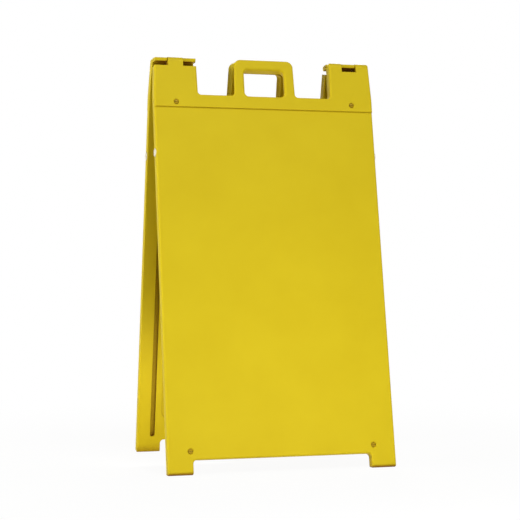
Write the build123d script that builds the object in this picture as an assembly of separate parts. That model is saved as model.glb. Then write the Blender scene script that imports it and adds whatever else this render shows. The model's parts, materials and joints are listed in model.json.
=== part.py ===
from build123d import *
from math import cos, radians, sin, tan
import os

# A fold-up A-frame sign: two identical hollow moulded panels, hinged at the top by two pins.
# A panel is drawn folded shut, hanging from the hinge axis: X across, Z up, outwards towards -Y.
# "Out" distances are measured from the fold plane, and insets from the panel's side.

# Panel
panel_width = 629.0
panel_length = 1140.0  # tower tops to the inner edge of the soles
header_thickness = 32.0
header_height = 144.5  # tower tops to the ledge over the sign face
sign_recess = 4.0  # sign face behind the header face
skin = 3.0  # moulded wall
outer_edge_radius = 5.0
inner_edge_radius = 2.0
tower_top_radius = 14.0  # outer top edge of the towers
ledge_radius = 1.0

# Fold
open_angle = 22.6  # between the panels on the open stop
fold_gap = 1.0  # between the inner faces when folded shut
stop_gap = 0.3  # between the two grips on the open stop

# Hinge towers
tower_base_width = 123.2
tower_inner_draft = 2.2  # the inner side draws back over the tower's height
tower_outer_draft = 4.5
tower_inner_radius = 6.0
tower_outer_radius = 10.0
tower_side_radius = 60.0  # where the outer side starts to draw in
valley_depth = 108.0  # tower tops to the valleys beside the grip
valley_radius = 10.0

# Hinge knuckles and pins
axis_drop = 3.1  # tower tops to the hinge axis
knuckle_radius = 6.5
knuckle_width = 42.0  # the single knuckle of one tower
knuckle_inset = 63.0  # to the middle of the single knuckle
knuckle_gap = 0.4  # between a knuckle's side and the notch across the fold plane
notch_depth = 26.8  # tower tops to the notch floors
lip_radius = 2.0  # outer edge of the notch floors
arm_reach = 27.0  # a knuckle's arm past the fold plane, into the other panel's notch
arm_drop = 4.5  # hinge axis to the arm's underside
arm_side_gap = 3.5  # an arm is narrower than its notch by this on each side
arm_nose_radius = 3.0  # upper end
arm_heel_radius = 2.0  # lower end
arm_edge_radius = 1.0
pin_radius = 3.2
pin_running_gap = 0.05  # radial, in the single knuckle
pin_tight_gap = 0.02  # radial, in the pair of knuckles and the cap
pin_end_wall = 4.0  # closes the outer knuckle's bore
pin_end_gap = 0.5
cap_seat_depth = 0.5  # spot face that the cap sits on
cap_seat_gap = 0.3  # radial
cap_radius = 4.0
cap_length = 5.0
cap_end_wall = 1.6
cap_rounding = 1.2

# Grip
grip_drop = 3.5  # tower tops to the grip's outer top edge
grip_top_width = 173.0
grip_base_width = 178.0
grip_corner_radius = 20.0
grip_height = 28.0  # of the bar over the window
grip_taper = 8.0  # the posts draw in towards the inner face
window_width = 111.0
window_corner_radius = 12.0
window_edge_radius = 7.0

# Feet
foot_width = 68.5
foot_height = 35.0  # at the inner face
foot_corner_radius = 8.0
foot_fillet_radius = 10.0
sole_edge_radius = 10.0

# Inner face relief
groove_inset = 44.0  # to the groove's middle
groove_width = 14.0
groove_depth = 13.0
groove_top_margin = 25.0  # below the ledge
groove_bottom_margin = 11.0  # above the bottom edge
pocket_inset = 68.0
pocket_depth = 5.0
pocket_top_margin = 45.0  # below the ledge
pocket_bottom_margin = 61.0  # above the bottom edge
pocket_corner_radius = 28.0

# Sign screws and their inserts
screw_inset = 61.5
top_left_screw_drop = 131.0  # tower tops to the upper screws
top_right_screw_drop = 126.5
bottom_screw_rise = 22.5  # bottom edge to the lower screws
dimple_radius = 9.0  # at the face
dimple_seat_radius = 6.4
dimple_depth = 3.2
screw_head_radius = 5.8
screw_head_height = 2.2
screw_head_rounding = 1.2
screw_shank_radius = 2.5
screw_end_gap = 1.0  # left in the insert past the screw's end
screw_hole_gap = 0.4  # radial, in the panel's skin
slot_width = 1.4
slot_depth = 1.2
insert_radius = 4.5
insert_length = 10.0
insert_cover = 1.6  # plastic between the dimple and the insert
insert_fit_gap = 0.02
thread_gap = 0.05
pillar_radius = 8.0  # moulded round each insert, from skin to skin

# Filler plugs in the panel's sides
filler_drop = 272.5  # tower tops to the plugs
filler_hole_radius = 8.0
filler_seat_depth = 2.0
filler_boss_length = 12.0
filler_boss_wall = 2.5
plug_flange_radius = 11.4
plug_seat_gap = 1.0  # radial
plug_proud = 2.2  # flange beyond the panel's side
plug_rounding = 1.5
plug_stem_gap = 0.1
plug_stem_length = 14.0
plug_stem_wall = 2.0
plug_grip_width = 3.0
plug_grip_depth = 1.5

# Worked-out places
half_width = panel_width / 2
lean = open_angle / 2
inner_out = fold_gap / 2
header_out = inner_out + header_thickness
sign_out = header_out - sign_recess
middle_out = (inner_out + sign_out) / 2
top = axis_drop
valley = top - valley_depth
ledge = top - header_height
band_middle = (valley + ledge) / 2
grip_top = top - grip_drop
grip_crest = grip_top + header_thickness * tan(radians(lean))
grip_root = grip_base_width / 2 + 2 * valley_radius
notch_floor = top - notch_depth
sole_inner = top - panel_length
bottom_edge = sole_inner + foot_height
hinge_height = -sole_inner * cos(radians(lean)) - inner_out * sin(radians(lean))
sole_outer = -(hinge_height + sign_out * sin(radians(lean))) / cos(radians(lean))
tower_inner_base = half_width - tower_base_width
tower_inner_top = tower_inner_base + tower_inner_draft
tower_outer_top = half_width - tower_outer_draft
knuckle_middle = half_width - knuckle_inset
knuckle_near = knuckle_middle - knuckle_width / 2
knuckle_far = knuckle_middle + knuckle_width / 2
arm_near = tower_inner_top
arm_far = tower_outer_top - inner_edge_radius
arm_root = inner_out + skin
cap_seat = tower_inner_top + cap_seat_depth
bore_end = tower_outer_top - pin_end_wall
cap_seat_radius = cap_radius + cap_seat_gap
screw_across = half_width - screw_inset
screw_spots = {
    "top_left": (-screw_across, top - top_left_screw_drop, header_out),
    "top_right": (screw_across, top - top_right_screw_drop, header_out),
    "bottom_left": (-screw_across, bottom_edge + bottom_screw_rise, sign_out),
    "bottom_right": (screw_across, bottom_edge + bottom_screw_rise, sign_out),
}
filler_level = top - filler_drop
filler_seat_radius = plug_flange_radius + plug_seat_gap
window_overrun = header_thickness / 8  # how far the window's tool runs past each face
beyond = 2 * header_thickness  # how far other cutting tools run past the panel
touch = 1e-4  # how near a face counts as on it


def mirrored(corners):
    """Close an outline given as the (across, up, radius) corners of its right half."""
    every = corners + [(-x, z, r) for x, z, r in reversed(corners)]
    points = [(x, z) for x, z, r in every]
    return make_face(FilletPolyline(*points, radius=[r for x, z, r in every], close=True))


def outwards(outline, start, depth):
    """Extrude an outline drawn across and up, from a distance outside the fold plane."""
    return extrude(Plane.XZ.offset(start) * outline, depth)


def sideways(corners):
    """Extrude a section, given as (out, up, radius) corners, over the whole panel width."""
    points = [(y, z) for y, z, r in corners]
    section = make_face(FilletPolyline(*points, radius=[r for y, z, r in corners], close=True))
    plane = Plane(origin=(half_width, 0, 0), x_dir=(0, -1, 0), z_dir=(-1, 0, 0))
    return extrude(plane * section, panel_width)


def block(x_range, out_range, z_range):
    """Box between two limits across, outwards and upwards."""
    x_low, x_high = sorted(x_range)
    out_low, out_high = out_range
    z_low, z_high = z_range
    middle = ((x_low + x_high) / 2, -(out_low + out_high) / 2, (z_low + z_high) / 2)
    return Pos(*middle) * Box(x_high - x_low, out_high - out_low, z_high - z_low)


def rod(radius, start, end, out=0.0, level=0.0):
    """Round bar along X between two places across the panel."""
    middle = ((start + end) / 2, -out, level)
    return Pos(*middle) * Rot(0, 90, 0) * Cylinder(radius, abs(end - start))


def peg(radius, spot, deep, shallow):
    """Round bar standing square to the panel at a screw's spot, between two depths below its face."""
    x, z, face_out = spot
    middle = (x, -(face_out - (deep + shallow) / 2), z)
    return Pos(*middle) * Rot(90, 0, 0) * Cylinder(radius, deep - shallow)


def dish(spot):
    """Round dimple at a screw's spot, wide at the face and narrower at its flat floor."""
    x, z, face_out = spot
    cone = Cone(dimple_seat_radius, dimple_radius, dimple_depth)
    return Pos(x, -(face_out - dimple_depth / 2), z) * Rot(90, 0, 0) * cone


def round_edges(body, face_out, open_level):
    """Round the edges of one broad face of a slab, apart from the edge at its open end."""
    def on_rim(edge):
        ends = [vertex.center() for vertex in edge.vertices()]
        on_face = all(abs(end.Y + face_out) < touch for end in ends)
        return on_face and not all(abs(end.Z - open_level) < touch for end in ends)
    radius = inner_edge_radius if face_out == inner_out else outer_edge_radius
    return fillet(body.edges().filter_by(on_rim), radius)


def grip_outline(shrink, crest):
    """Grip and a strip of the header under it, drawn in at its sides and with its top at a level."""
    return mirrored([
        (grip_top_width / 2 - shrink, crest, grip_corner_radius),
        (grip_base_width / 2 - shrink, valley, valley_radius),
        (grip_root, valley, 0),
        (grip_root, band_middle, 0),
    ])


def window_outline(depth):
    """Finger window in the grip at a depth below the header face; it widens inwards."""
    window_top = grip_top - grip_height
    width = window_width + 2 * grip_taper * depth / header_thickness
    shape = RectangleRounded(width, window_top - valley, window_corner_radius)
    return Plane.XZ.offset(header_out - depth) * Pos(0, (window_top + valley) / 2) * shape


def header_slab():
    """Towers, header band and a grip whose top lies level when the panel leans, with its window."""
    outline = mirrored([
        (tower_inner_base, valley, valley_radius),
        (tower_inner_top, top, tower_inner_radius),
        (tower_outer_top, top, tower_outer_radius),
        (half_width, valley, tower_side_radius),
        (half_width, ledge, 0),
    ])
    slab = outwards(outline, inner_out, header_thickness)
    grip_outer = Plane.XZ.offset(header_out) * grip_outline(0, grip_top)
    grip_inner = Plane.XZ.offset(inner_out) * grip_outline(grip_taper, grip_crest)
    slab = slab + loft([grip_inner, grip_outer], ruled=True)
    slab = round_edges(slab, header_out, ledge)
    slab = round_edges(slab, inner_out, ledge)
    slab = slab & sideways([
        (inner_out, ledge, 0),
        (header_out, ledge, ledge_radius),
        (header_out, beyond, 0),
        (inner_out, beyond, 0),
    ])
    for side in (-1, 1):
        tower = (side * (tower_inner_base - valley_radius), side * (half_width + beyond))
        slab = slab - edge_cut(tower, top, tower_top_radius)
    inside = header_thickness + window_overrun
    slab = slab - loft([window_outline(-window_overrun), window_outline(inside)], ruled=True)
    rim = [edge for edge in slab.edges() if is_window_rim(edge)]
    return fillet(rim, window_edge_radius)


def edge_cut(across, level, radius):
    """Tool that rounds an outer edge of the header at a level."""
    centre_out = header_out - radius
    centre_level = level - radius
    corner = block(across, (centre_out, header_out + beyond), (centre_level, level + beyond))
    return corner - rod(radius, across[0], across[1], centre_out, centre_level)


def is_window_rim(edge):
    """Tell whether an edge runs round the window on the header face."""
    middle = edge.center(CenterOf.BOUNDING_BOX)
    return (abs(middle.Y + header_out) < touch
            and abs(middle.X) < window_width / 2 + touch
            and valley - touch < middle.Z < grip_top - grip_height + touch)


def sign_slab():
    """Sign face, bottom edge and feet, with soles that lie flat when the panel leans."""
    outline = mirrored([
        (half_width, band_middle, 0),
        (half_width, sole_outer, foot_corner_radius),
        (half_width - foot_width, sole_outer, foot_corner_radius),
        (half_width - foot_width, bottom_edge, foot_fillet_radius),
    ])
    slab = outwards(outline, inner_out, sign_out - inner_out)
    slab = round_edges(slab, sign_out, band_middle)
    slab = round_edges(slab, inner_out, band_middle)
    return slab & sideways([
        (inner_out, band_middle, 0),
        (sign_out, band_middle, 0),
        (sign_out, sole_outer, sole_edge_radius),
        (inner_out, sole_inner, inner_edge_radius),
    ])


def knuckle_arm(start, end):
    """Round knuckle with an arm that reaches past the fold plane, between two places across the panel."""
    arm = sideways([
        (-arm_reach, knuckle_radius, arm_nose_radius),
        (-arm_reach, -arm_drop, arm_heel_radius),
        (arm_root, -arm_drop, 0),
        (arm_root, 0, 0),
        (0, knuckle_radius, 0),
    ])
    arm = arm & block((start, end), (-beyond, beyond), (-beyond, beyond))
    arm = fillet(arm.faces().filter_by(Axis.X).edges(), arm_edge_radius)
    return arm + rod(knuckle_radius, start, end)


def cut_hinge(panel):
    """Cut the notches, add the knuckles and bore them: a pair at the right, a single at the left."""
    side_end = half_width + beyond
    near_end = tower_inner_base - valley_radius
    notches = [
        (-knuckle_far, -side_end),
        (-knuckle_near, -near_end),
        (knuckle_near - knuckle_gap, knuckle_far + knuckle_gap),
    ]
    for notch in notches:
        panel = panel - block(notch, (-beyond, beyond), (notch_floor, beyond))
        panel = panel - edge_cut(notch, notch_floor, lip_radius)
    panel = panel + knuckle_arm(-knuckle_near - arm_side_gap, -knuckle_far + arm_side_gap)
    panel = panel + knuckle_arm(arm_near, knuckle_near - arm_side_gap)
    panel = panel + knuckle_arm(knuckle_far + arm_side_gap, arm_far)
    panel = panel - rod(pin_radius + pin_running_gap, -knuckle_near, -knuckle_far)
    panel = panel - rod(pin_radius + pin_tight_gap, cap_seat, bore_end)
    return panel - rod(cap_seat_radius, near_end, cap_seat)


def cut_grip_stop(panel):
    """Bevel the grip above the hinge axis, so that the two grips meet when the sign stands open."""
    reach = grip_base_width + valley_radius
    stop = Pos(0, beyond / 2 - stop_gap / 2, 0) * Box(reach, beyond, 2 * top + beyond)
    return panel - Rot(lean, 0, 0) * stop


def groove_outline(side, margin):
    """Long round-ended groove on one side, grown by a margin."""
    low = bottom_edge + groove_bottom_margin
    high = ledge - groove_top_margin
    slot = SlotOverall(high - low + 2 * margin, groove_width + 2 * margin, rotation=90)
    return Pos(side * (half_width - groove_inset), (low + high) / 2) * slot


def pocket_outline(margin):
    """Wide shallow pocket between the grooves, grown by a margin."""
    low = bottom_edge + pocket_bottom_margin
    high = ledge - pocket_top_margin
    width = panel_width - 2 * pocket_inset
    shape = RectangleRounded(width + 2 * margin, high - low + 2 * margin, pocket_corner_radius + margin)
    return Pos(0, (low + high) / 2) * shape


def cavity():
    """Hollow between the skins, which the ballast fills."""
    inside = half_width - skin
    behind_sign = (inner_out + skin, sign_out - skin)
    behind_header = (inner_out + skin, header_out - skin)
    hollow = block((-inside, inside), behind_sign, (bottom_edge + skin, valley - skin))
    hollow = hollow + block((-inside, inside), behind_header, (ledge + skin, valley - skin))
    tower_near = tower_inner_top + skin
    tower_far = tower_outer_top - skin
    foot_near = half_width - foot_width + skin
    for side in (-1, 1):
        tower = (side * tower_near, side * tower_far)
        hollow = hollow + block(tower, behind_header, (ledge + skin, notch_floor - skin))
        foot = (side * foot_near, side * inside)
        foot_levels = (sole_outer + sole_edge_radius, bottom_edge + 2 * skin)
        hollow = hollow + block(foot, behind_sign, foot_levels)
        hollow = hollow - outwards(groove_outline(side, skin), inner_out, groove_depth + skin)
        boss = rod(filler_hole_radius + filler_boss_wall, side * (half_width - filler_boss_length),
                   side * half_width, middle_out, filler_level)
        hollow = hollow - boss
    hollow = hollow - outwards(pocket_outline(skin), inner_out, pocket_depth + skin)
    for spot in screw_spots.values():
        hollow = hollow - peg(pillar_radius, spot, header_thickness, 0)
    return hollow


def cut_screw_seats(panel):
    """Sink a dimple, a clearance hole and an insert's seat at each screw."""
    for spot in screw_spots.values():
        insert_top = dimple_depth + insert_cover
        panel = panel - dish(spot)
        panel = panel - peg(screw_shank_radius + screw_hole_gap, spot, insert_top, 0)
        panel = panel - peg(insert_radius + insert_fit_gap, spot, insert_top + insert_length, insert_top)
    return panel


def cut_filler_seats(panel):
    """Spot-face and bore both sides of the panel for the filler plugs."""
    for side in (-1, 1):
        seat = side * (half_width - filler_seat_depth)
        hole_end = side * (half_width - filler_boss_length)
        outside = side * (half_width + filler_seat_depth)
        panel = panel - rod(filler_seat_radius, seat, outside, middle_out, filler_level)
        panel = panel - rod(filler_hole_radius, hole_end, seat, middle_out, filler_level)
    return panel


def panel_shape():
    """One whole hollow panel."""
    panel = header_slab() + sign_slab()
    panel = cut_hinge(panel)
    panel = cut_grip_stop(panel)
    panel = panel - cavity()
    for side in (-1, 1):
        panel = panel - outwards(groove_outline(side, 0), inner_out, groove_depth)
    panel = panel - outwards(pocket_outline(0), inner_out, pocket_depth)
    panel = cut_screw_seats(panel)
    return cut_filler_seats(panel)


def hinge_pin():
    """Plain rod through the three knuckles of a tower."""
    return rod(pin_radius, cap_seat - cap_length + cap_end_wall, bore_end - pin_end_gap)


def hinge_pin_cap():
    """Push-on cap that keeps the pin in, seated on the inner knuckle."""
    outer_end = cap_seat - cap_length
    cap = rod(cap_radius, outer_end, cap_seat)
    cap = fillet(cap.edges().filter_by(GeomType.CIRCLE).sort_by(Axis.X)[0], cap_rounding)
    return cap - rod(pin_radius + pin_tight_gap, outer_end + cap_end_wall, cap_seat)


def sign_screw(spot):
    """Slotted round-headed screw that clamps the sign sheet."""
    head_top = dimple_depth - screw_head_height
    head = peg(screw_head_radius, spot, dimple_depth, head_top)
    crown = head.edges().filter_by(GeomType.CIRCLE).sort_by(Axis.Y)[0]
    head = fillet(crown, screw_head_rounding)
    x, z, face_out = spot
    slot_floor = face_out - head_top - slot_depth
    head = head - block((x - screw_head_radius, x + screw_head_radius),
                        (slot_floor, face_out), (z - slot_width / 2, z + slot_width / 2))
    screw_end = dimple_depth + insert_cover + insert_length - screw_end_gap
    return head + peg(screw_shank_radius, spot, screw_end, dimple_depth)


def sign_insert(spot):
    """Threaded sleeve moulded in behind a screw."""
    insert_top = dimple_depth + insert_cover
    insert = peg(insert_radius, spot, insert_top + insert_length, insert_top)
    return insert - peg(screw_shank_radius + thread_gap, spot, insert_top + insert_length, insert_top)


def filler_plug(side):
    """Push-in plug with a round flange and a hollow stem."""
    seat = half_width - filler_seat_depth
    flange_end = half_width + plug_proud
    flange = rod(plug_flange_radius, seat, flange_end, middle_out, filler_level)
    rim = flange.edges().filter_by(GeomType.CIRCLE).sort_by(Axis.X)[-1]
    flange = fillet(rim, plug_rounding)
    for level in (filler_level + plug_grip_width, filler_level - plug_grip_width):
        flange = flange - block((flange_end - plug_grip_depth, flange_end),
                                (middle_out - plug_grip_width, middle_out + plug_grip_width),
                                (level - plug_grip_width / 2, level + plug_grip_width / 2))
    stem_radius = filler_hole_radius - plug_stem_gap
    stem_end = seat - plug_stem_length
    stem = rod(stem_radius, stem_end, seat, middle_out, filler_level)
    stem = stem - rod(stem_radius - plug_stem_wall, stem_end, seat, middle_out, filler_level)
    plug = flange + stem
    return plug if side > 0 else mirror(plug, Plane.YZ)


front_place = Pos(0, 0, hinge_height) * Rot(-lean, 0, 0)
rear_place = Rot(0, 0, 180) * front_place

panel = panel_shape()
pin = hinge_pin()
cap = hinge_pin_cap()
nodes = {
    "front_panel": front_place * panel,
    "rear_panel": rear_place * panel,
    "hinge_pin_right": front_place * pin,
    "hinge_pin_left": rear_place * pin,
    "hinge_pin_cap_right": front_place * cap,
    "hinge_pin_cap_left": rear_place * cap,
}
for face, place in (("front", front_place), ("rear", rear_place)):
    for corner, spot in screw_spots.items():
        nodes[f"{face}_sign_screw_{corner}"] = place * sign_screw(spot)
        nodes[f"{face}_sign_insert_{corner}"] = place * sign_insert(spot)
    for end, side in (("left", -1), ("right", 1)):
        nodes[f"{face}_filler_plug_{end}"] = place * filler_plug(side)

os.makedirs("parts", exist_ok=True)
for node, shape in nodes.items():
    export_step(shape, f"parts/{node}.step")
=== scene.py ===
"""Dress the fold-up barricade sign in moulded plastic and metal, and stand it in a plain studio.

Lengths on the pieces are in millimetres, and those of the studio in metres.
"""

import json
import logging
import math
from collections.abc import Callable
from dataclasses import dataclass, field
from enum import Enum

import bpy
import numpy as np
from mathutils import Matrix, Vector


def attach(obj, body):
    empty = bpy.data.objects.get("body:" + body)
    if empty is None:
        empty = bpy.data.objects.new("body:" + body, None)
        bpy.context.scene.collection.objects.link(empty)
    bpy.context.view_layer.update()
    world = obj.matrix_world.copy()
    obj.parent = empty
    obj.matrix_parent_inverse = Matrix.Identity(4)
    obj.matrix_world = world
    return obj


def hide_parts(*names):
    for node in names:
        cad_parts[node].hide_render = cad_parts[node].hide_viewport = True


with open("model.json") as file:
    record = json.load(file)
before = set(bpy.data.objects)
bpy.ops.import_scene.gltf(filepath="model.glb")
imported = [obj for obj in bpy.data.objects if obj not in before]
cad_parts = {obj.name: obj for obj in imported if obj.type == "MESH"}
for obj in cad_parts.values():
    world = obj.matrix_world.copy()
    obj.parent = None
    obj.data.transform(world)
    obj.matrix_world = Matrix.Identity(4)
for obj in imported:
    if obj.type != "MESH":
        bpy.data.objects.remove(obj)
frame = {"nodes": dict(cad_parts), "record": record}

log = logging.getLogger("barricade_sign")

MM = 0.001
WHITE = "#FFFFFF"
SIGN_MIDDLE = (0.0, 0.0, 0.57)
LEVEL_DEG = 90.0  # turn about X that points a camera level

# Blender's mix node has the same socket names for every kind of value, so its colours go by number.
MIX_SHARE = 0
MIX_FIRST_COLOUR = 6
MIX_SECOND_COLOUR = 7
MIX_COLOUR_OUT = 2


class Face(Enum):
    """The two panels, which are one moulding: the rear one is turned half round."""

    FRONT = "front"
    REAR = "rear"

    @property
    def turn(self) -> int:
        """Sign of X and Y for this panel."""
        return 1 if self is Face.FRONT else -1


class Side(Enum):
    """The two ends of a panel, seen from in front of it."""

    LEFT = "left"
    RIGHT = "right"

    @property
    def sign(self) -> int:
        """Sign of the place across the panel."""
        return 1 if self is Side.RIGHT else -1


class Slot(Enum):
    """Material slots of the record that the pieces take their finish from."""

    PANEL = "panel_plastic"
    PIN = "pin_steel"
    CAP = "cap_plastic"
    SCREW = "screw_plastic"
    INSERT = "insert_brass"
    PLUG = "plug_plastic"


def linear(colour: str) -> tuple[float, float, float, float]:
    """Turn an sRGB hex colour into linear light.

    Args:
        colour: six hex digits after a hash sign

    Returns:
        Linear red, green and blue, and an alpha of one.
    """
    shares = [int(colour[i:i + 2], 16) / 255 for i in (1, 3, 5)]
    light = [s / 12.92 if s <= 0.04045 else ((s + 0.055) / 1.055) ** 2.4 for s in shares]
    return (*light, 1.0)


def add_node(tree: bpy.types.NodeTree, kind: str, settings: dict, inputs: dict) -> bpy.types.Node:
    """Add a node with its settings and links.

    Args:
        tree: node tree of a material or of the world
        kind: Blender's type name for the node
        settings: properties of the node itself
        inputs: a value or another node's output for each input, by name or number

    Returns:
        The new node.
    """
    node = tree.nodes.new(kind)
    for name, value in settings.items():
        setattr(node, name, value)
    for key, value in inputs.items():
        if isinstance(value, bpy.types.NodeSocket):
            tree.links.new(value, node.inputs[key])
        else:
            node.inputs[key].default_value = value
    return node


def add_noise(tree: bpy.types.NodeTree, place: bpy.types.NodeSocket, size_mm: float, detail: float,
              roughness: float = 0.5) -> bpy.types.NodeSocket:
    """Add noise of a given size.

    Args:
        tree: node tree of a material
        place: output with the places
        size_mm: size of the noise's coarsest patches
        detail: how many times finer noise is added
        roughness: how much each finer noise counts

    Returns:
        The noise, around a half.
    """
    noise = add_node(tree, "ShaderNodeTexNoise", {}, {
        "Vector": place, "Scale": 1 / (size_mm * MM), "Detail": detail, "Roughness": roughness})
    return noise.outputs["Fac"]


def add_ramp(tree: bpy.types.NodeTree, share: bpy.types.NodeSocket, ends: tuple[float, float],
             colours: tuple[str, str]) -> bpy.types.NodeSocket:
    """Add a ramp between two colours.

    Args:
        tree: node tree of a material
        share: output that picks the place on the ramp
        ends: shares where the ramp starts and ends
        colours: sRGB hex colours there

    Returns:
        The colour.
    """
    ramp = add_node(tree, "ShaderNodeValToRGB", {}, {"Fac": share})
    for element, end, colour in zip(ramp.color_ramp.elements, ends, colours):
        element.position = end
        element.color = linear(colour)
    return ramp.outputs["Color"]


def new_material(name: str) -> bpy.types.Material:
    """Start a material with an empty node tree.

    Args:
        name: name of the real material

    Returns:
        The material.
    """
    material = bpy.data.materials.new(name)
    material.use_nodes = True
    material.node_tree.nodes.clear()
    return material


@dataclass(frozen=True)
class MouldedPlastic:
    """Plastic coloured all through: an even body colour, a satin grain and a slight sink.

    In narrow gaps the body colour is darkened by how shut in a spot is: this is painted shade, not a
    colour of the plastic.
    """

    name: str
    colour: str
    cloud_colour: str
    # The darker colour mixed in where a spot is shut in is painted shade.
    painted_shade_colour: str
    roughness: float
    ior: float
    specular: float
    grain_mm: float
    grain_height_mm: float
    sink_mm: float
    sink_height_mm: float
    cloud_mm: float
    painted_shade_reach_mm: float
    cloud_detail: float = 3.0
    cloud_roughness: float = 0.55
    cloud_ends: tuple[float, float] = (0.3, 0.7)
    grain_detail: float = 2.0
    sink_detail: float = 1.0
    painted_shade_samples: int = 8
    painted_shade_ends: tuple[float, float] = (0.15, 0.75)
    gloss_ends: tuple[float, float] = (0.3, 0.7)
    gloss_spread: float = 0.05

    def body(self, tree: bpy.types.NodeTree, place: bpy.types.NodeSocket) -> bpy.types.NodeSocket:
        """Make the colour: faint clouds, darkened with painted shade where a spot is shut in.

        Args:
            tree: node tree of the material
            place: output with the places

        Returns:
            The colour.
        """
        cloud = add_noise(tree, place, self.cloud_mm, self.cloud_detail, self.cloud_roughness)
        tint = add_ramp(tree, cloud, self.cloud_ends, (self.cloud_colour, self.colour))
        # Painted shade: an ambient occlusion node darkens the colour towards the darker colour where a
        # spot is shut in.
        occlusion = add_node(tree, "ShaderNodeAmbientOcclusion", {"samples": self.painted_shade_samples}, {
            "Distance": self.painted_shade_reach_mm * MM})
        openness = add_node(tree, "ShaderNodeMapRange", {}, {
            "Value": occlusion.outputs["AO"], "From Min": self.painted_shade_ends[0], "From Max": self.painted_shade_ends[1]})
        mix = add_node(tree, "ShaderNodeMix", {"data_type": "RGBA"}, {
            MIX_SHARE: openness.outputs["Result"], MIX_FIRST_COLOUR: linear(self.painted_shade_colour),
            MIX_SECOND_COLOUR: tint})
        return mix.outputs[MIX_COLOUR_OUT]

    def material(self) -> bpy.types.Material:
        """Make the plastic.

        Returns:
            A material whose colour clouds, painted shade in gaps, grain and sink have their sizes in
            millimetres.
        """
        material = new_material(self.name)
        tree = material.node_tree
        place = add_node(tree, "ShaderNodeTexCoord", {}, {}).outputs["Object"]
        body = self.body(tree, place)
        grain = add_noise(tree, place, self.grain_mm, self.grain_detail)
        sink = add_noise(tree, place, self.sink_mm, self.sink_detail)
        gloss = add_node(tree, "ShaderNodeMapRange", {}, {
            "Value": grain, "From Min": self.gloss_ends[0], "From Max": self.gloss_ends[1],
            "To Min": self.roughness - self.gloss_spread, "To Max": self.roughness + self.gloss_spread})
        wave = add_node(tree, "ShaderNodeBump", {}, {"Height": sink, "Distance": self.sink_height_mm * MM})
        relief = add_node(tree, "ShaderNodeBump", {}, {
            "Height": grain, "Distance": self.grain_height_mm * MM, "Normal": wave.outputs["Normal"]})
        shader = add_node(tree, "ShaderNodeBsdfPrincipled", {}, {
            "Base Color": body, "Roughness": gloss.outputs["Result"], "IOR": self.ior,
            "Specular IOR Level": self.specular, "Normal": relief.outputs["Normal"]})
        add_node(tree, "ShaderNodeOutputMaterial", {}, {"Surface": shader.outputs["BSDF"]})
        return material


@dataclass(frozen=True)
class DrawnMetal:
    """Metal with fine lines left by drawing or turning."""

    name: str
    colour: str
    dull_colour: str
    roughness: float
    line_mm: float
    line_height_mm: float
    line_detail: float = 2.0
    line_stretch: tuple[float, float, float] = (0.03, 1.0, 1.0)
    line_ends: tuple[float, float] = (0.35, 0.65)
    gloss_spread: float = 0.08

    def material(self) -> bpy.types.Material:
        """Make the metal.

        Returns:
            A material whose lines run along X, the way a rod is drawn.
        """
        material = new_material(self.name)
        tree = material.node_tree
        place = add_node(tree, "ShaderNodeTexCoord", {}, {}).outputs["Object"]
        stretched = add_node(tree, "ShaderNodeMapping", {}, {"Vector": place, "Scale": self.line_stretch})
        lines = add_noise(tree, stretched.outputs["Vector"], self.line_mm, self.line_detail)
        tint = add_ramp(tree, lines, self.line_ends, (self.dull_colour, self.colour))
        gloss = add_node(tree, "ShaderNodeMapRange", {}, {
            "Value": lines, "To Min": self.roughness - self.gloss_spread,
            "To Max": self.roughness + self.gloss_spread})
        relief = add_node(tree, "ShaderNodeBump", {}, {
            "Height": lines, "Distance": self.line_height_mm * MM})
        shader = add_node(tree, "ShaderNodeBsdfPrincipled", {}, {
            "Base Color": tint, "Metallic": 1.0, "Roughness": gloss.outputs["Result"],
            "Normal": relief.outputs["Normal"]})
        add_node(tree, "ShaderNodeOutputMaterial", {}, {"Surface": shader.outputs["BSDF"]})
        return material


# The darker colour that each plastic is given for narrow gaps is painted shade, and its reach is how far
# it looks for nearby walls.
FINISHES = {
    # Blow-moulded polyethylene, pigmented yellow all through: satin, with a fine mould grain.
    Slot.PANEL: MouldedPlastic(
        name="yellow_polyethylene", colour="#DCC31E", cloud_colour="#D8BE1B", painted_shade_colour="#8E5C0E",
        roughness=0.52, ior=1.54, specular=0.08, grain_mm=1.2, grain_height_mm=0.03,
        sink_mm=90.0, sink_height_mm=0.12, cloud_mm=160.0, painted_shade_reach_mm=40.0),
    # Drawn mild-steel rod with a thin zinc plate: dull grey lines along the rod.
    Slot.PIN: DrawnMetal(
        name="zinc_plated_steel", colour="#B9BBBD", dull_colour="#8E9092",
        roughness=0.38, line_mm=0.6, line_height_mm=0.01),
    # Injection-moulded nylon, a deeper and browner yellow than the panel.
    Slot.CAP: MouldedPlastic(
        name="deep_yellow_nylon", colour="#A8922C", cloud_colour="#9C8624", painted_shade_colour="#5E4A10",
        roughness=0.42, ior=1.53, specular=0.3, grain_mm=0.8, grain_height_mm=0.01,
        sink_mm=12.0, sink_height_mm=0.02, cloud_mm=9.0, painted_shade_reach_mm=6.0),
    # Injection-moulded nylon, a little deeper than the panel's yellow.
    Slot.SCREW: MouldedPlastic(
        name="yellow_nylon", colour="#B99812", cloud_colour="#AC8A0E", painted_shade_colour="#6E4C08",
        roughness=0.45, ior=1.53, specular=0.15, grain_mm=0.8, grain_height_mm=0.01,
        sink_mm=12.0, sink_height_mm=0.02, cloud_mm=9.0, painted_shade_reach_mm=6.0),
    # Turned brass.
    Slot.INSERT: DrawnMetal(
        name="turned_brass", colour="#C9A65A", dull_colour="#B08C44",
        roughness=0.34, line_mm=0.5, line_height_mm=0.01),
    # Polyethylene with no pigment: milky white and waxy.
    Slot.PLUG: MouldedPlastic(
        name="natural_polyethylene", colour="#F4EEDC", cloud_colour="#ECE3CC", painted_shade_colour="#B4A88C",
        roughness=0.50, ior=1.53, specular=0.3, grain_mm=0.9, grain_height_mm=0.01,
        sink_mm=15.0, sink_height_mm=0.03, cloud_mm=12.0, painted_shade_reach_mm=3.0),
}


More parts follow.
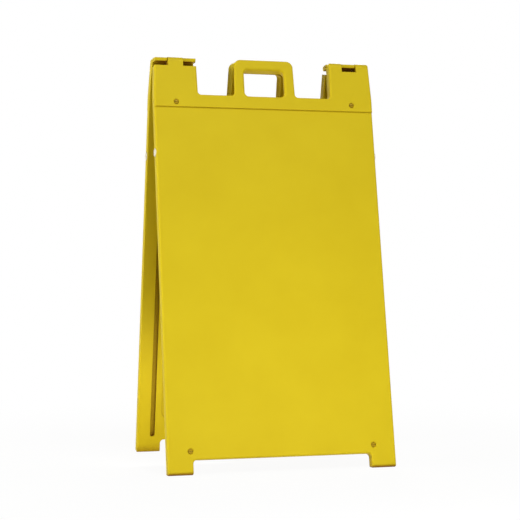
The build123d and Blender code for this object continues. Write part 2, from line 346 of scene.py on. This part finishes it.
@dataclass(frozen=True)
class Stand:
    """Where the panels stand: both hang from the hinge line and lean outwards by the same angle."""

    hinge_height: float = 1.1147628  # in metres
    lean_deg: float = 11.3

    @property
    def lean(self) -> tuple[float, float]:
        """Sine and cosine of the lean."""
        angle = math.radians(self.lean_deg)
        return math.sin(angle), math.cos(angle)

    def world(self, face: Face, local: np.ndarray) -> np.ndarray:
        """Turn places on a panel into places in the scene.

        The panel's own axes are across, up along the panel and out from the fold plane. Leaning mixes
        the last two by the lean's sine and cosine, and the rear panel is the front one turned half round.

        Args:
            face: panel that the places are on
            local: rows of across, up and out, in millimetres

        Returns:
            Rows of X, Y and Z in metres.
        """
        across, up, out = (local * MM).T
        sine, cosine = self.lean
        x = face.turn * across
        y = face.turn * (up * sine - out * cosine)
        z = self.hinge_height + up * cosine + out * sine
        return np.column_stack((x, y, z))

    def local(self, face: Face, places: np.ndarray) -> np.ndarray:
        """Turn places in the scene into places on a panel, the other way round.

        Args:
            face: panel that the places are on
            places: rows of X, Y and Z in metres

        Returns:
            Rows of across, up and out, in millimetres.
        """
        x, y, z = (places / MM).T
        sine, cosine = self.lean
        level = z - self.hinge_height / MM
        up = face.turn * y * sine + level * cosine
        out = level * sine - face.turn * y * cosine
        return np.column_stack((face.turn * x, up, out))


def ease(value: np.ndarray, low: float, high: float) -> np.ndarray:
    """Ease from 0 at low to 1 at high: three squares less two cubes of the share of the way.

    Args:
        value: numbers to ease
        low: where the way starts
        high: where it ends

    Returns:
        The eased shares.
    """
    share = np.clip((value - low) / (high - low), 0.0, 1.0)
    return share * share * (3 - 2 * share)


def turned(profile: np.ndarray, count: int,
           dent: Callable[[np.ndarray, np.ndarray], np.ndarray] | None = None) -> tuple[np.ndarray, list]:
    """Turn a profile round an axis into a closed skin.

    Each profile point becomes a ring: its radius times the cosine and the sine of the angle, at its
    height. The first and last points lie on the axis and close the skin with fans. A dent lowers the
    points that lie above the profile's middle height.

    Args:
        profile: rows of radius and height, from the upper pole to the lower one
        count: points round each ring
        dent: depth to take off at the places u and v, or None

    Returns:
        Rows of u, v and height, and the faces as lists of point numbers.
    """
    angle = np.arange(count) * (2 * math.pi / count)
    rings = profile[1:-1]
    u = np.outer(rings[:, 0], np.cos(angle)).ravel()
    v = np.outer(rings[:, 0], np.sin(angle)).ravel()
    height = np.repeat(rings[:, 1], count)
    points = np.column_stack((np.append(u, (0, 0)), np.append(v, (0, 0)),
                              np.append(height, profile[[0, -1], 1])))
    if dent is not None:
        upper = points[:, 2] > profile[:, 1].mean()
        points[upper, 2] -= dent(points[upper, 0], points[upper, 1])
    ring = np.arange(count)
    after = (ring + 1) % count
    start = np.arange(len(rings) - 1)[:, None] * count
    quads = np.stack((start + ring, start + count + ring, start + count + after, start + after), axis=-1)
    top, bottom = len(points) - 2, len(points) - 1
    last = (len(rings) - 1) * count
    fans = np.concatenate((np.column_stack((np.full(count, top), ring, after)),
                           np.column_stack((np.full(count, bottom), last + after, last + ring))))
    return points, quads.reshape(-1, 4).tolist() + fans.tolist()


def arc(centre: tuple[float, float], radius: float, start_deg: float, count: int) -> np.ndarray:
    """Points down an arc of a profile: the centre plus the radius times the cosine and the sine.

    Args:
        centre: radius and height of the arc's centre
        radius: radius of the arc
        start_deg: angle of its first point; its last one is at 0 degrees
        count: number of points

    Returns:
        Rows of radius and height.
    """
    angle = np.radians(np.linspace(start_deg, 0, count))
    return np.column_stack((centre[0] + radius * np.cos(angle), centre[1] + radius * np.sin(angle)))


def run(start: tuple[float, float], end: tuple[float, float], count: int) -> np.ndarray:
    """Points evenly along a straight stretch of a profile.

    Args:
        start: radius and height of the first point
        end: radius and height of the last point
        count: number of points

    Returns:
        Rows of radius and height.
    """
    return np.linspace(start, end, count)


def new_piece(name: str, points: np.ndarray, faces: list, sharp_deg: float) -> bpy.types.Object:
    """Make an object at the origin from places in metres.

    Args:
        name: name of the piece
        points: rows of X, Y and Z
        faces: point numbers of each face, seen anticlockwise from outside
        sharp_deg: edges that turn by more than this stay sharp

    Returns:
        The object, smooth apart from its sharp edges.
    """
    mesh = bpy.data.meshes.new(name)
    mesh.from_pydata(points.tolist(), [], faces)
    mesh.polygons.foreach_set("use_smooth", np.ones(len(mesh.polygons), dtype=bool))
    mesh.set_sharp_from_angle(angle=math.radians(sharp_deg))
    piece = bpy.data.objects.new(name, mesh)
    bpy.context.collection.objects.link(piece)
    return piece


class Dresser:
    """Puts the finishes on the pieces, hangs new pieces on the bodies they ride on and hides the CAD nodes
    they stand for.
    """

    def __init__(self) -> None:
        """Make each finish once."""
        self.materials = {slot: finish.material() for slot, finish in FINISHES.items()}

    def dress_node(self, node: str, slot: Slot) -> bpy.types.Object:
        """Give a CAD node its finish.

        Args:
            node: name of the node
            slot: finish to put on it

        Returns:
            The node's object.
        """
        piece = frame["nodes"][node]
        piece.data.materials.clear()
        piece.data.materials.append(self.materials[slot])
        log.info("%s: %s", node, self.materials[slot].name)
        return piece

    def dress_piece(self, piece: bpy.types.Object, body: str, slot: Slot, node: str | None) -> None:
        """Give a new piece its finish and its place in the assembly.

        Args:
            piece: object made by this script
            body: body that it moves with
            slot: finish to put on it
            node: CAD node that it stands for, or None
        """
        piece.data.materials.append(self.materials[slot])
        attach(piece, body)
        if node is not None:
            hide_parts(node)
        log.info("%s: %s on %s", piece.name, self.materials[slot].name, body)


@dataclass
class PanelSkin:
    """A panel's moulded skin: the CAD faces joined up, so that its roundings shade smoothly.

    Its knuckles are wider than the CAD's and the ends of their arms are higher, as in the photo.
    """

    stand: Stand
    join: float = 0.001
    sharp_deg: float = 32.0
    flat_weight: int = 100
    knuckle_radius: float = 6.5
    knuckle_near: float = 230.5  # across, where a tower's single knuckle starts
    knuckle_far: float = 272.5  # and where it ends
    side_gap: float = 3.5  # from there to a knuckle's side in the CAD
    side_band: float = 1.2
    widening: float = 3.0
    arm_reach: float = 27.0
    arm_drop: float = 4.5
    nose_rise: float = 4.0
    heel_rise: float = 5.0

    def side_shift(self, across: np.ndarray, up: np.ndarray) -> np.ndarray:
        """Find how far the points of the knuckles' sides move, each towards the next knuckle.

        Args:
            across: places across the panel
            up: places along the panel, from the hinge axis

        Returns:
            The shift of each point across the panel, zero away from the sides.
        """
        level = np.abs(up) < self.knuckle_radius + self.side_band
        shift = np.zeros(len(across))
        for meeting in (self.knuckle_near, self.knuckle_far):
            for way in (1, -1):
                plane = meeting - way * self.side_gap
                beside = level & (np.abs(np.abs(across) - plane) < self.side_band)
                shift[beside] = way * self.widening * np.sign(across[beside])
        return shift

    def end_rise(self, face: Face, up: np.ndarray, out: np.ndarray) -> np.ndarray:
        """Find how far the points of the arms rise.

        A point past the knuckle rises by its share of the way to the arm's end, times a rise that runs
        evenly from the heel's at the arm's underside to the nose's at its top. The front panel's heels
        stay down, because light from behind would show under them.

        Args:
            face: panel that the arms are on
            up: places along the panel, from the hinge axis
            out: places out from the fold plane

        Returns:
            The rise of each point along the panel, zero away from the arms.
        """
        share = np.clip((-out - self.knuckle_radius) / (self.arm_reach - self.knuckle_radius), 0.0, 1.0)
        height = np.clip((up + self.arm_drop) / (self.knuckle_radius + self.arm_drop), 0.0, 1.0)
        heel = self.heel_rise if face is Face.REAR else 0.0
        return share * (heel + (self.nose_rise - heel) * height)

    def shape_arms(self, face: Face, places: np.ndarray) -> np.ndarray:
        """Widen the knuckles and their arms, and raise the arms' ends past the fold plane.

        Args:
            face: panel that the places are on
            places: rows of X, Y and Z in metres

        Returns:
            The places, with those on the knuckles and arms moved.
        """
        across, up, out = self.stand.local(face, places).T
        shift = self.side_shift(across, up)
        rise = self.end_rise(face, up, out)
        moved = (shift != 0) | (rise != 0)
        shaped = self.stand.world(face, np.column_stack((across + shift, up + rise, out)))
        return np.where(moved[:, None], shaped, places)

    def build(self, face: Face, dresser: Dresser) -> bpy.types.Object:
        """Join a panel's loose triangles.

        Corners that agree to within the joining distance become one point, and triangles that fold
        up to a line are dropped. Normals weighted by area keep the broad faces flat.

        Args:
            face: panel to build
            dresser: gives the piece its finish

        Returns:
            The joined panel.
        """
        node = f"{face.value}_panel"
        loose = frame["nodes"][node].data
        places = np.empty(len(loose.vertices) * 3, dtype=np.float32)
        loose.vertices.foreach_get("co", places)
        corners = np.empty(len(loose.loops), dtype=np.int32)
        loose.loops.foreach_get("vertex_index", corners)
        places = places.reshape(-1, 3).astype(np.float64)
        keys = np.round(places / (self.join * MM)).astype(np.int64)
        _, first, number = np.unique(keys, axis=0, return_index=True, return_inverse=True)
        triangles = number.ravel()[corners].reshape(-1, 3)
        whole = ((triangles[:, 0] != triangles[:, 1]) & (triangles[:, 1] != triangles[:, 2])
                 & (triangles[:, 2] != triangles[:, 0]))
        piece = new_piece(f"{face.value}_panel_skin", self.shape_arms(face, places[first]),
                          triangles[whole].tolist(), self.sharp_deg)
        shade = piece.modifiers.new("broad_faces_flat", "WEIGHTED_NORMAL")
        shade.keep_sharp = True
        shade.weight = self.flat_weight
        dresser.dress_piece(piece, face.value, Slot.PANEL, node)
        return piece


@dataclass
class PartingBead:
    """The fine raised line along a panel's sides where the two halves of the mould met."""

    stand: Stand
    half_width: float = 314.5
    out: float = 14.5
    top: float = -112.0
    bottom: float = -1118.0
    plug_level: float = -269.4
    plug_clearance: float = 13.4
    width: float = 1.2
    height: float = 0.35
    sunk: float = 0.02  # its edges lie this far under the panel's side
    fade: float = 2.0
    sharp_deg: float = 50.0
    across_count: int = 7
    along_count: int = 40

    def strip(self, side: Side, high: float, low: float, start: int) -> tuple[np.ndarray, list]:
        """Make one stretch of the bead.

        The bead's rise is its height times the square root of one less the square of the share of its
        half width, faded to nothing at both ends of the stretch.

        Args:
            side: side of the panel
            high: upper end along the panel
            low: lower end
            start: number of its first point

        Returns:
            Rows of across, up and out, and the faces.
        """
        share, level = np.meshgrid(np.linspace(-1, 1, self.across_count),
                                   np.linspace(high, low, self.along_count))
        ends = ease(high - level, 0.0, self.fade) * ease(level - low, 0.0, self.fade)
        rise = self.height * np.sqrt(np.clip(1 - share ** 2, 0, None)) * ends
        across = side.sign * (self.half_width - self.sunk + rise)
        out = self.out + side.sign * share * self.width / 2
        points = np.column_stack((across.ravel(), level.ravel(), out.ravel()))
        row = np.arange(self.along_count - 1)[:, None] * self.across_count
        cell = start + row + np.arange(self.across_count - 1)
        faces = np.stack((cell, cell + self.across_count, cell + self.across_count + 1, cell + 1), axis=-1)
        back = start + np.array([[0, self.across_count - 1, self.along_count * self.across_count - 1,
                                  (self.along_count - 1) * self.across_count]])
        return points, faces.reshape(-1, 4).tolist() + back.tolist()

    def build(self, face: Face, dresser: Dresser) -> bpy.types.Object:
        """Lay the bead along both sides of a panel, clear of its filler plugs.

        Args:
            face: panel to build it on
            dresser: gives the piece its finish

        Returns:
            The bead as one piece.
        """
        points, faces, start = [], [], 0
        for side in Side:
            for high, low in ((self.top, self.plug_level + self.plug_clearance),
                              (self.plug_level - self.plug_clearance, self.bottom)):
                strip, cells = self.strip(side, high, low, start)
                points.append(strip)
                faces += cells
                start += len(strip)
        places = self.stand.world(face, np.concatenate(points))
        piece = new_piece(f"{face.value}_parting_bead", places, faces, self.sharp_deg)
        dresser.dress_piece(piece, face.value, Slot.PANEL, None)
        return piece


@dataclass
class SignScrew:
    """A slotted screw with a domed head, sunk in a dimple of the panel's face."""

    stand: Stand
    head_radius: float = 5.8
    head_height: float = 2.2
    rim_height: float = 0.9
    crown_radius: float = 0.9
    crown_start_deg: float = 80.0
    shank_radius: float = 2.5
    shank_length: float = 10.6
    slot_width: float = 1.4
    slot_depth: float = 1.2
    slot_easing: float = 0.1
    floor_depth: float = 3.2
    across: float = 253.0
    levels: dict[str, float] = field(default_factory=lambda: {
        "top_left": -127.9, "top_right": -123.4, "bottom_left": -1079.4, "bottom_right": -1079.4})
    face_outs: dict[str, float] = field(default_factory=lambda: {
        "top_left": 32.5, "top_right": 32.5, "bottom_left": 28.5, "bottom_right": 28.5})
    sharp_deg: float = 40.0
    dome_count: int = 30
    crown_count: int = 6
    count: int = 96

    def profile(self) -> np.ndarray:
        """Draw head and shank: a shallow parabola to the rim's rounding, then the seat and the shank.

        Returns:
            Rows of radius and height above the dimple's floor.
        """
        radius = np.linspace(0.0, self.head_radius - self.crown_radius, self.dome_count)
        edge = self.rim_height + self.crown_radius
        dome = edge + (self.head_height - edge) * (1 - (radius / radius[-1]) ** 2)
        crown = arc((self.head_radius - self.crown_radius, self.rim_height), self.crown_radius,
                    self.crown_start_deg, self.crown_count)
        seat = np.array([[self.head_radius, 0.0], [self.shank_radius, 0.0],
                         [self.shank_radius, -self.shank_length], [0.0, -self.shank_length]])
        return np.concatenate((np.column_stack((radius, dome)), crown, seat))

    def slot(self, u: np.ndarray, v: np.ndarray) -> np.ndarray:
        """Find the depth of the driver slot: full inside its width and eased out at its edges.

        Args:
            u: places along the slot, which runs right across the head
            v: places across it

        Returns:
            The depth at each place.
        """
        half = self.slot_width / 2
        return self.slot_depth * (1 - ease(np.abs(v), half - self.slot_easing, half + self.slot_easing))

    def build(self, face: Face, corner: str, dresser: Dresser) -> bpy.types.Object:
        """Turn the screw at one corner of a panel.

        Args:
            face: panel that it is in
            corner: corner's name in the record
            dresser: gives the piece its finish

        Returns:
            The screw.
        """
        points, faces = turned(self.profile(), self.count, self.slot)
        side = Side(corner.split("_")[1])
        floor_out = self.face_outs[corner] - self.floor_depth
        places = self.stand.world(face, points + (side.sign * self.across, self.levels[corner], floor_out))
        piece = new_piece(f"{face.value}_screw_{corner}", places, faces, self.sharp_deg)
        dresser.dress_piece(piece, face.value, Slot.SCREW, f"{face.value}_sign_screw_{corner}")
        return piece


@dataclass
class FillerPlug:
    """A push-in plug: a round flange with two finger pockets, on a hollow stem."""

    stand: Stand
    half_width: float = 314.5
    level: float = -269.4
    out: float = 14.5
    seat_depth: float = 2.0
    proud: float = 2.2
    flange_radius: float = 11.4
    rounding: float = 1.5
    rounding_start_deg: float = 78.0
    stem_radius: float = 7.9
    stem_wall: float = 2.0
    stem_length: float = 14.0
    stem_chamfer: float = 0.6
    pocket_radius: float = 7.4
    pocket_depth: float = 1.3
    pocket_easing: float = 0.5
    rib_width: float = 3.0
    rib_easing: float = 0.3
    sharp_deg: float = 40.0
    flat_count: int = 34
    rounding_count: int = 7
    count: int = 96

    def profile(self) -> np.ndarray:
        """Draw the flange from its middle over its rounded rim, its underside and the hollow stem.

        Returns:
            Rows of radius and height above the flange's seat.
        """
        top = self.proud + self.seat_depth
        flat_radius = self.flange_radius - self.rounding
        flat = run((0.0, top), (flat_radius, top), self.flat_count)
        rim = arc((flat_radius, top - self.rounding), self.rounding, self.rounding_start_deg,
                  self.rounding_count)
        bore = self.stem_radius - self.stem_wall
        under = np.array([[self.flange_radius, 0.0], [self.stem_radius, 0.0],
                          [self.stem_radius, self.stem_chamfer - self.stem_length],
                          [self.stem_radius - self.stem_chamfer, -self.stem_length],
                          [bore, -self.stem_length], [bore, 0.0], [0.0, 0.0]])
        return np.concatenate((flat, rim, under))

    def pockets(self, u: np.ndarray, v: np.ndarray) -> np.ndarray:
        """Find the depth of the pockets: inside a circle and clear of the rib between them.

        Args:
            u: places along the rib
            v: places across it

        Returns:
            The depth at each place, eased at the edges.
        """
        radius, half = self.pocket_radius, self.rib_width / 2
        inside = 1 - ease(np.hypot(u, v), radius - self.pocket_easing, radius + self.pocket_easing)
        off_rib = ease(np.abs(v), half - self.rib_easing, half + self.rib_easing)
        return self.pocket_depth * inside * off_rib

    def build(self, face: Face, side: Side, dresser: Dresser) -> bpy.types.Object:
        """Turn the plug in one side of a panel.

        Args:
            face: panel that it is in
            side: side of the panel
            dresser: gives the piece its finish

        Returns:
            The plug.
        """
        points, faces = turned(self.profile(), self.count, self.pockets)
        u, v, height = points.T
        across = side.sign * (self.half_width - self.seat_depth + height)
        up, out = (u, v) if side is Side.RIGHT else (v, u)
        places = self.stand.world(face, np.column_stack((across, self.level + up, self.out + out)))
        piece = new_piece(f"{face.value}_plug_{side.value}", places, faces, self.sharp_deg)
        node = f"{face.value}_filler_plug_{side.value}"
        dresser.dress_piece(piece, node, Slot.PLUG, node)
        return piece


@dataclass
class HingePin:
    """A hinge pin with chamfered ends, and the push-on cap that keeps it in."""

    stand: Stand
    cap_start: float = 189.0
    cap_length: float = 5.0
    cap_radius: float = 4.0
    cap_rounding: float = 1.2
    cap_rounding_start_deg: float = 85.0
    cap_wall: float = 1.6
    pin_radius: float = 3.2
    pin_end: float = 305.5
    pin_gap: float = 0.02
    chamfer: float = 0.6
    sharp_deg: float = 40.0
    flat_count: int = 5
    rounding_count: int = 7
    count: int = 64

    def cap_profile(self) -> np.ndarray:
        """Draw the cap: flat end, rounding, side, rim and bore.

        Returns:
            Rows of radius and height, down from the cap's end.
        """
        flat_radius = self.cap_radius - self.cap_rounding
        flat = run((0.0, 0.0), (flat_radius, 0.0), self.flat_count)
        rounded = arc((flat_radius, -self.cap_rounding), self.cap_rounding, self.cap_rounding_start_deg,
                      self.rounding_count)
        bore = self.pin_radius + self.pin_gap
        inside = np.array([[self.cap_radius, -self.cap_length], [bore, -self.cap_length],
                           [bore, -self.cap_wall], [0.0, -self.cap_wall]])
        return np.concatenate((flat, rounded, inside))

    def pin_profile(self, length: float) -> np.ndarray:
        """Draw the pin: flat ends, chamfers and a straight side.

        Args:
            length: length of the pin

        Returns:
            Rows of radius and height, down from the end in the cap.
        """
        inner = self.pin_radius - self.chamfer
        return np.array([[0.0, 0.0], [inner, 0.0], [self.pin_radius, -self.chamfer],
                         [self.pin_radius, self.chamfer - length], [inner, -length], [0.0, -length]])

    def build(self, face: Face, side: Side, dresser: Dresser) -> list[bpy.types.Object]:
        """Turn the pin and the cap that one panel carries.

        Args:
            face: panel that carries them
            side: side of the sign, as the nodes name it
            dresser: gives the pieces their finish

        Returns:
            The pin and the cap.
        """
        start = self.cap_start + self.cap_wall
        parts = (("pin", self.pin_profile(self.pin_end - start), start, Slot.PIN),
                 ("pin_cap", self.cap_profile(), self.cap_start, Slot.CAP))
        made = []
        for name, profile, place, slot in parts:
            points, faces = turned(profile, self.count)
            v, u, height = points.T
            places = self.stand.world(face, np.column_stack((place - height, u, v)))
            piece = new_piece(f"{name}_{side.value}", places, faces, self.sharp_deg)
            dresser.dress_piece(piece, face.value, slot, f"hinge_{name}_{side.value}")
            made.append(piece)
        return made


@dataclass(frozen=True)
class SoftBox:
    """A square soft light turned to a point."""

    name: str
    place: tuple[float, float, float]
    aim: tuple[float, float, float]
    size: float
    power: float

    def hang(self) -> bpy.types.Object:
        """Hang the light.

        Returns:
            The area lamp, hidden from the camera.
        """
        lamp = bpy.data.lights.new(self.name, "AREA")
        lamp.energy = self.power
        lamp.size = self.size
        box = bpy.data.objects.new(self.name, lamp)
        box.location = self.place
        box.rotation_euler = (Vector(self.aim) - Vector(self.place)).to_track_quat("-Z", "Y").to_euler()
        box.visible_camera = False
        bpy.context.collection.objects.link(box)
        return box


@dataclass
class Studio:
    """Pale floor, white surroundings, soft lights and the camera at the photo's angle."""

    floor_size: float = 9.0
    floor_colour: str = "#F4F4F2"
    near_whiteness: float = 0.94
    near_radius: float = 0.5
    far_radius: float = 1.8
    lights: tuple[SoftBox, ...] = (
        SoftBox("key_soft_box", place=(0.4, -3.6, 5.3), aim=SIGN_MIDDLE, size=2.6, power=210.0),
        SoftBox("left_soft_box", place=(-3.6, -0.6, 1.3), aim=SIGN_MIDDLE, size=1.6, power=73.0),
        SoftBox("back_soft_box", place=(1.2, 5.2, 2.3), aim=SIGN_MIDDLE, size=2.6, power=195.0),
        SoftBox("front_card", place=(0.05, -1.05, 0.04), aim=SIGN_MIDDLE, size=0.9, power=6.3),
        SoftBox("inner_card", place=(-0.26, -0.04, 0.16), aim=(-0.26, 0.9, 0.02), size=0.3, power=0.42),
    )
    camera_place: tuple[float, float, float] = (-0.9974, -3.6962, 0.5555)
    camera_pitch_deg: float = 0.09
    camera_yaw_deg: float = 15.083
    lens_mm: float = 93.75
    sensor_mm: float = 36.0

    def white_share(self, tree: bpy.types.NodeTree) -> bpy.types.NodeSocket:
        """Tell camera, mirror and see-through rays from the rest.

        Args:
            tree: node tree to add the nodes to

        Returns:
            An output that is one for the rays that show the background, and zero for the rest.
        """
        path = add_node(tree, "ShaderNodeLightPath", {}, {})
        seen = add_node(tree, "ShaderNodeMath", {"operation": "MAXIMUM"}, {
            0: path.outputs["Is Camera Ray"], 1: path.outputs["Is Glossy Ray"]})
        return add_node(tree, "ShaderNodeMath", {"operation": "MAXIMUM"}, {
            0: seen.outputs["Value"], 1: path.outputs["Is Transmission Ray"]}).outputs["Value"]

    def paper(self) -> bpy.types.Material:
        """Make the floor's paper.

        Returns:
            A material that takes shadows near the sign and shows white farther off.
        """
        material = new_material("studio_paper")
        tree = material.node_tree
        place = add_node(tree, "ShaderNodeTexCoord", {}, {}).outputs["Object"]
        away = add_node(tree, "ShaderNodeVectorMath", {"operation": "LENGTH"}, {0: place})
        whiteness = add_node(tree, "ShaderNodeMapRange", {"interpolation_type": "SMOOTHSTEP"}, {
            "Value": away.outputs["Value"], "From Min": self.near_radius, "From Max": self.far_radius,
            "To Min": self.near_whiteness, "To Max": 1.0})
        share = add_node(tree, "ShaderNodeMath", {"operation": "MULTIPLY"}, {
            0: self.white_share(tree), 1: whiteness.outputs["Result"]})
        paper = add_node(tree, "ShaderNodeBsdfDiffuse", {}, {"Color": linear(self.floor_colour)})
        white = add_node(tree, "ShaderNodeEmission", {}, {"Color": linear(WHITE), "Strength": 1.0})
        mix = add_node(tree, "ShaderNodeMixShader", {}, {
            0: share.outputs["Value"], 1: paper.outputs["BSDF"], 2: white.outputs["Emission"]})
        add_node(tree, "ShaderNodeOutputMaterial", {}, {"Surface": mix.outputs["Shader"]})
        return material

    def floor(self) -> bpy.types.Object:
        """Lay the floor.

        Returns:
            A flat square sheet of paper, as part of the stage.
        """
        half = self.floor_size / 2
        mesh = bpy.data.meshes.new("studio_floor")
        mesh.from_pydata([(-half, -half, 0), (half, -half, 0), (half, half, 0), (-half, half, 0)], [],
                         [(0, 1, 2, 3)])
        floor = bpy.data.objects.new("studio_floor", mesh)
        bpy.context.collection.objects.link(floor)
        mesh.materials.append(self.paper())
        return floor

    def surroundings(self) -> None:
        """Make the world white to look at, but dark to the sign, which the soft boxes alone light."""
        world = bpy.data.worlds.new("studio_world")
        bpy.context.scene.world = world
        world.use_nodes = True
        tree = world.node_tree
        tree.nodes.clear()
        light = add_node(tree, "ShaderNodeBackground", {}, {
            "Color": linear(WHITE), "Strength": self.white_share(tree)})
        add_node(tree, "ShaderNodeOutputWorld", {}, {"Surface": light.outputs["Background"]})

    def camera(self) -> bpy.types.Object:
        """Set the camera up where the photo was taken from.

        Returns:
            The scene's camera.
        """
        data = bpy.data.cameras.new("photo_camera")
        data.lens = self.lens_mm
        data.sensor_width = self.sensor_mm
        camera = bpy.data.objects.new("photo_camera", data)
        camera.location = self.camera_place
        camera.rotation_euler = (math.radians(LEVEL_DEG + self.camera_pitch_deg), 0.0,
                                 math.radians(-self.camera_yaw_deg))
        bpy.context.collection.objects.link(camera)
        bpy.context.scene.camera = camera
        return camera

    def build(self) -> None:
        """Build the whole studio."""
        bpy.context.scene.view_settings.view_transform = "Standard"
        self.floor()
        self.surroundings()
        for light in self.lights:
            light.hang()
        self.camera()


def main() -> None:
    """Dress every piece of the sign and set up the studio."""
    logging.basicConfig(level=logging.INFO, format="%(message)s")
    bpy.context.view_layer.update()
    dresser = Dresser()
    for part in frame["record"]["subparts"]:
        dresser.dress_node(part["node"], Slot(part["material_slot"]))
    stand = Stand()
    screw = SignScrew(stand)
    for face in Face:
        PanelSkin(stand).build(face, dresser)
        PartingBead(stand).build(face, dresser)
        for corner in screw.levels:
            screw.build(face, corner, dresser)
        for side in Side:
            FillerPlug(stand).build(face, side, dresser)
    HingePin(stand).build(Face.FRONT, Side.RIGHT, dresser)
    HingePin(stand).build(Face.REAR, Side.LEFT, dresser)
    Studio().build()


if __name__ == "__main__":
    main()
